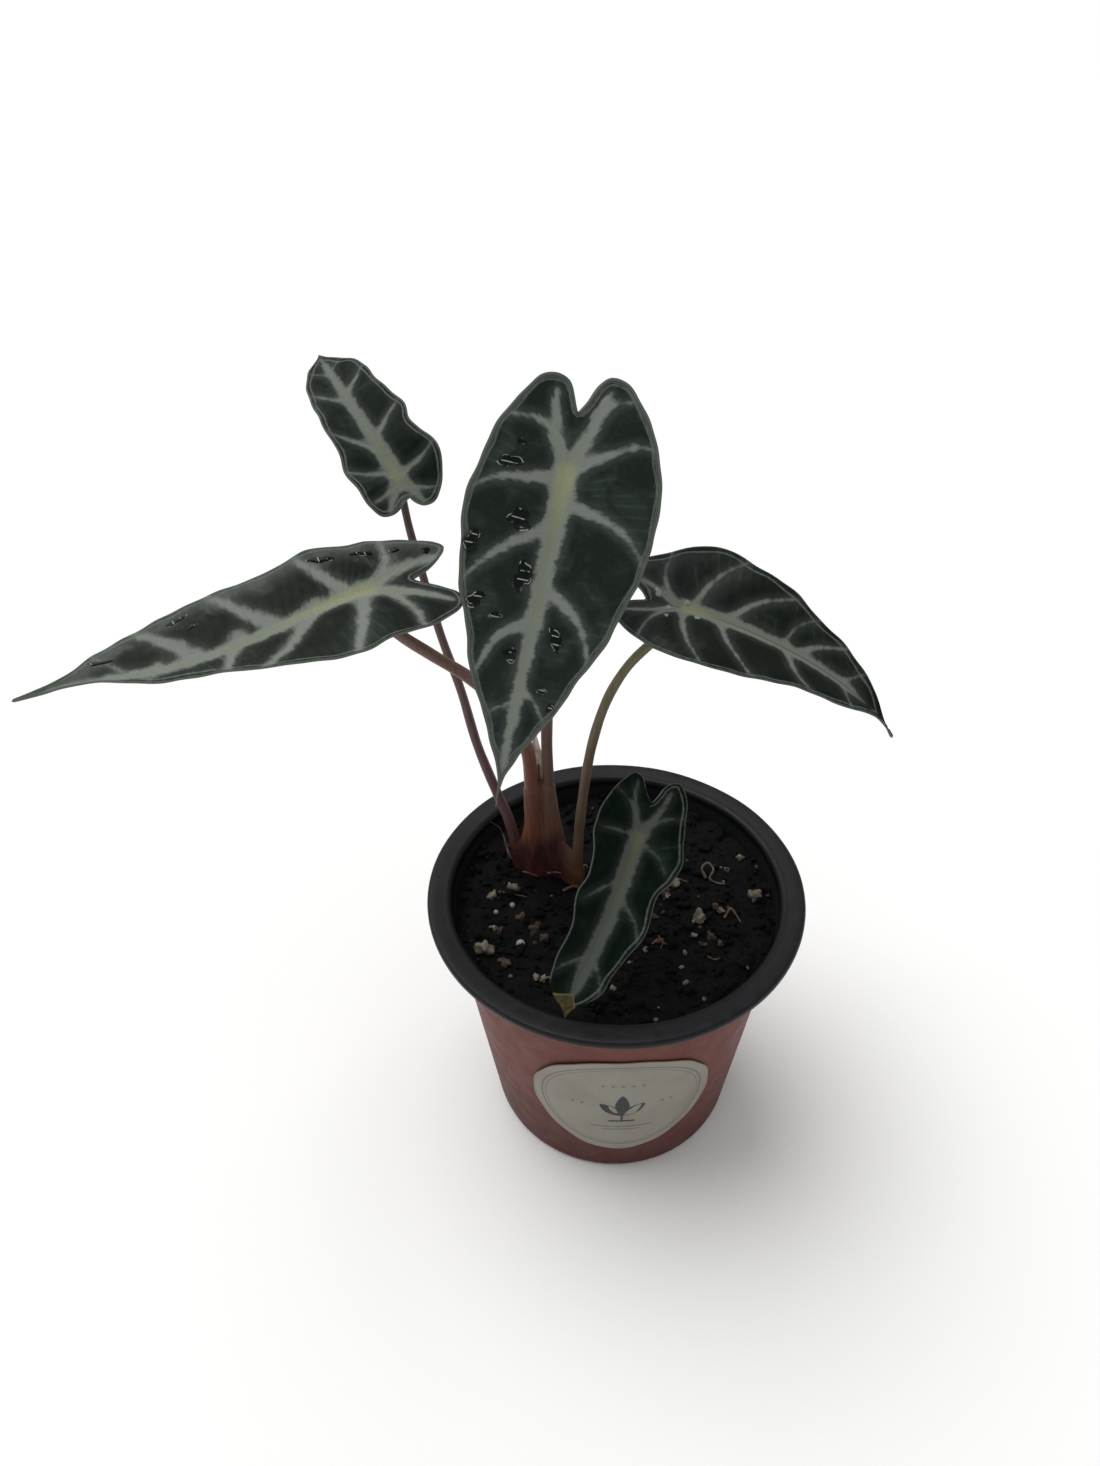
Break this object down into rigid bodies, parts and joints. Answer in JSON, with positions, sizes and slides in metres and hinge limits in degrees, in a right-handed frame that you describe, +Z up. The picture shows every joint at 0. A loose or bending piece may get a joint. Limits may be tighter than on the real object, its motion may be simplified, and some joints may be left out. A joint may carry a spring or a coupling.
{
  "type": "potted dwarf alocasia",
  "caption": "Dwarf arrowhead-leaved house plant with dark, pale-veined, folded leaves on slender stalks, growing in a round two-colour nursery pot filled with peat",
  "frame": {"origin": "Centre of the pot's flat base, on the surface it stands on", "axes": "+Z up, +Y to the back, +X to the right as seen from the side with the label"},
  "size_m": [0.2131, 0.1439, 0.2536],
  "materials": {
    "pot_plastic": "thin thermoformed plastic, satin red-brown outside, black on the rim and inside",
    "label_paper": "coated off-white paper with a plain printed border and leaf sprig",
    "peat": "dark moist peat with perlite and bark crumbs",
    "corm_skin": "dull brown, ringed, slightly rough",
    "dry_sheath": "papery, pale straw brown",
    "stalk_skin": "smooth red-brown to olive, faintly mottled, semi-gloss",
    "blade_green": "semi-gloss black-green, thick, with broad pale grey-green veins and a pale margin"
  },
  "bodies": {
    "root": {"pot": "pot_plastic", "label": "label_paper", "soil": "peat", "corm": "corm_skin", "cataphyll": "dry_sheath", "petiole_back": "stalk_skin", "petiole_left": "stalk_skin", "petiole_centre": "stalk_skin", "petiole_right": "stalk_skin", "petiole_front": "stalk_skin", "blade_back": "blade_green", "blade_left": "blade_green", "blade_centre": "blade_green", "blade_right": "blade_green", "blade_front": "blade_green"}
  },
  "joints": []
}
